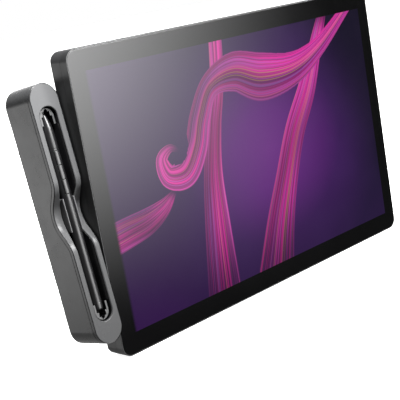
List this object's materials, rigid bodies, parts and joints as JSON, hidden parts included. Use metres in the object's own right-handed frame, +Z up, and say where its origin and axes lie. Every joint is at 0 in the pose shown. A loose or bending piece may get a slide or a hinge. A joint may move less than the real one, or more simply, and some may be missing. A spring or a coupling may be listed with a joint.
{
  "type": "pen display with pen holder",
  "caption": "Flat slab pen display with a lit screen, and an upright stadium-shaped holder on its left edge carrying a pressure pen in a shallow channel.",
  "frame": {"origin": "centre of the square mounting pattern, on the outer face of the rear cover", "axes": "+X is the viewer's right, +Z is up the display, the screen faces -Y and the back faces +Y"},
  "size_m": [0.4399, 0.0662, 0.266],
  "materials": {
    "frame_paint": "satin dark grey",
    "cover_plastic": "fine-grained charcoal",
    "holder_body": "satin dark grey",
    "holder_trim": "smooth satin grey",
    "liner_gloss": "glossy black",
    "cradle_grey": "satin grey rim over black",
    "saddle_black": "smooth black",
    "pen_black": "soft matt black",
    "switch_black": "fine-grained black",
    "nib": "hard black felt-like plastic",
    "screen_glass": "etched, slightly diffuse",
    "lcd": "lit picture",
    "light_white": "white reflector and light guide",
    "board": "green solder mask",
    "steel": "zinc-plated sheet",
    "cast_metal": "as cast",
    "copper": "bare copper",
    "flex": "amber film",
    "fan_black": "moulded",
    "screw_black": "black oxide",
    "rubber_black": "matt",
    "washer": "friction washer",
    "key_black": "smooth satin"
  },
  "bodies": {
    "display": {"cover_glass": "screen_glass", "side_frame": "frame_paint", "rear_cover": "cover_plastic", "lcd_panel": "lcd", "backlight_unit": "light_white", "digitizer_board": "board", "shield_plate": "steel", "chassis_frame": "cast_metal", "vesa_plate": "steel", "main_board": "board", "port_board": "board", "port_sockets": "steel", "heat_spreader": "copper", "fan_housings": "fan_black", "key_boards": "board", "display_cables": "flex", "cover_screws": "screw_black", "rubber_feet": "rubber_black", "leg_pins": "steel", "holder_bracket": "frame_paint", "bracket_screws": "screw_black", "pivot_bolt": "steel", "friction_washers": "washer"},
    "fan_left": {"fan_left": "fan_black"},
    "fan_right": {"fan_right": "fan_black"},
    "key_1": {"express_key_1": "key_black"},
    "key_2": {"express_key_2": "key_black"},
    "key_3": {"express_key_3": "key_black"},
    "key_4": {"express_key_4": "key_black"},
    "key_5": {"express_key_5": "key_black"},
    "key_6": {"express_key_6": "key_black"},
    "key_7": {"express_key_7": "key_black"},
    "key_8": {"express_key_8": "key_black"},
    "power_button": {"power_button": "key_black"},
    "touch_switch": {"touch_switch": "key_black"},
    "leg_left": {"leg_left": "cover_plastic", "leg_pad_left": "rubber_black"},
    "leg_right": {"leg_right": "cover_plastic", "leg_pad_right": "rubber_black"},
    "lock_knob": {"lock_knob": "key_black"},
    "holder": {"holder_shell": "holder_body", "holder_trim": "holder_trim", "channel_liner": "liner_gloss", "pen_cradles": "cradle_grey", "pen_saddle": "saddle_black", "holder_screws": "screw_black"},
    "nib_tray": {"nib_tray": "holder_body", "spare_nibs": "nib", "nib_puller": "steel"},
    "pen": {"pen_grip": "pen_black", "pen_barrel": "pen_black", "pen_tail_cap": "pen_black", "pen_board": "board", "pen_coil": "copper"},
    "nib": {"pen_nib": "nib"},
    "switch_1": {"side_switch_1": "switch_black"},
    "switch_2": {"side_switch_2": "switch_black"},
    "switch_3": {"side_switch_3": "switch_black"}
  },
  "joints": [
    {"name": "fan_left_spin", "type": "hinge", "parent": "display", "child": "fan_left", "pos_m": [-0.08, -0.008, 0.1016], "axis": [0, 1, 0], "continuous": true},
    {"name": "fan_right_spin", "type": "hinge", "parent": "display", "child": "fan_right", "pos_m": [0.08, -0.008, 0.1016], "axis": [0, 1, 0], "continuous": true},
    {"name": "key_1_press", "type": "slide", "parent": "display", "child": "key_1", "axis": [0, -1, 0], "range_m": [0, 0.0006], "stiffness_N_per_m": 1500},
    {"name": "key_2_press", "type": "slide", "parent": "display", "child": "key_2", "axis": [0, -1, 0], "range_m": [0, 0.0006], "stiffness_N_per_m": 1500},
    {"name": "key_3_press", "type": "slide", "parent": "display", "child": "key_3", "axis": [0, -1, 0], "range_m": [0, 0.0006], "stiffness_N_per_m": 1500},
    {"name": "key_4_press", "type": "slide", "parent": "display", "child": "key_4", "axis": [0, -1, 0], "range_m": [0, 0.0006], "stiffness_N_per_m": 1500},
    {"name": "key_5_press", "type": "slide", "parent": "display", "child": "key_5", "axis": [0, -1, 0], "range_m": [0, 0.0006], "stiffness_N_per_m": 1500},
    {"name": "key_6_press", "type": "slide", "parent": "display", "child": "key_6", "axis": [0, -1, 0], "range_m": [0, 0.0006], "stiffness_N_per_m": 1500},
    {"name": "key_7_press", "type": "slide", "parent": "display", "child": "key_7", "axis": [0, -1, 0], "range_m": [0, 0.0006], "stiffness_N_per_m": 1500},
    {"name": "key_8_press", "type": "slide", "parent": "display", "child": "key_8", "axis": [0, -1, 0], "range_m": [0, 0.0006], "stiffness_N_per_m": 1500},
    {"name": "power_press", "type": "slide", "parent": "display", "child": "power_button", "axis": [-1, 0, 0], "range_m": [0, 0.0005], "stiffness_N_per_m": 1500},
    {"name": "touch_slide", "type": "slide", "parent": "display", "child": "touch_switch", "axis": [0, 0, 1], "range_m": [0, 0.003]},
    {"name": "leg_left_fold", "type": "hinge", "parent": "display", "child": "leg_left", "pos_m": [-0.105, -0.0028, 0.07], "axis": [1, 0, 0], "range_deg": [0, 90]},
    {"name": "leg_right_fold", "type": "hinge", "parent": "display", "child": "leg_right", "pos_m": [0.105, -0.0028, 0.07], "axis": [1, 0, 0], "range_deg": [0, 90]},
    {"name": "knob_turn", "type": "hinge", "parent": "display", "child": "lock_knob", "pos_m": [-0.195, 0.01068, -0.00308], "axis": [1, 0, 0], "range_deg": [-180, 0]},
    {"name": "holder_tilt", "type": "hinge", "parent": "display", "child": "holder", "pos_m": [-0.2056, 0.01068, -0.00308], "axis": [-1, 0, 0], "range_deg": [-7.4, 22.6]},
    {"name": "tray_slide", "type": "slide", "parent": "holder", "child": "nib_tray", "axis": [0, 0.9917, -0.1288], "range_m": [0, 0.018]},
    {"name": "pen_lift", "type": "slide", "parent": "holder", "child": "pen", "axis": [0, -0.9917, 0.1288], "range_m": [0, 0.06]},
    {"name": "nib_press", "type": "slide", "parent": "pen", "child": "nib", "axis": [0, -0.1288, -0.9917], "range_m": [0, 0.0012], "stiffness_N_per_m": 800},
    {"name": "switch_1_press", "type": "slide", "parent": "pen", "child": "switch_1", "axis": [0, 0.9917, -0.1288], "range_m": [0, 0.0004], "stiffness_N_per_m": 1500},
    {"name": "switch_2_press", "type": "slide", "parent": "pen", "child": "switch_2", "axis": [0, 0.9917, -0.1288], "range_m": [0, 0.0004], "stiffness_N_per_m": 1500},
    {"name": "switch_3_press", "type": "slide", "parent": "pen", "child": "switch_3", "axis": [0, 0.9917, -0.1288], "range_m": [0, 0.0004], "stiffness_N_per_m": 1500}
  ]
}
